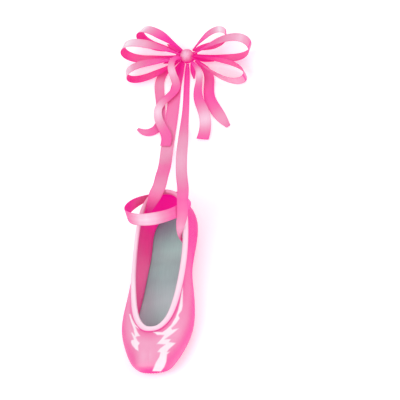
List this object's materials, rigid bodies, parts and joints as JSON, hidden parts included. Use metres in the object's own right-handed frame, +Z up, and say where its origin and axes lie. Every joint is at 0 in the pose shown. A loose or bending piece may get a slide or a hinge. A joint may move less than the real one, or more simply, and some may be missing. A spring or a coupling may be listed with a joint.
{
  "type": "ballet shoe",
  "caption": "Satin pointe ballet shoe with a stiff flat-ended toe box, thin leather sole, elastic loop at the heel and long ribbons laid out behind it in a bow.",
  "frame": {"origin": "on the floor under the middle of the flat spot of the heel", "axes": "+Z up from the floor, -Y from heel to toe, +X to the wearer's left with the toe pointing away"},
  "size_m": [0.1651, 0.4966, 0.0882],
  "materials": {
    "satin": "pink satin with a soft sheen, deeper pink inside",
    "leather": "natural sole leather, matt",
    "board": "grey cloth over board, matt",
    "tape": "pale pink satin tape",
    "elastic": "pink woven elastic",
    "ribbon": "pink satin ribbon"
  },
  "bodies": {
    "root": {"upper": "satin", "outsole": "leather", "insole": "board", "binding": "tape", "elastic_loop": "elastic", "ribbon_left": "ribbon", "ribbon_right": "ribbon", "bow_loop_left_back": "ribbon", "bow_loop_left_middle": "ribbon", "bow_loop_left_front": "ribbon", "bow_loop_right_back": "ribbon", "bow_loop_right_middle": "ribbon", "bow_loop_right_front": "ribbon", "bow_tail_1": "ribbon", "bow_tail_2": "ribbon", "bow_tail_3": "ribbon", "bow_tail_4": "ribbon", "bow_knot": "ribbon"}
  },
  "joints": []
}
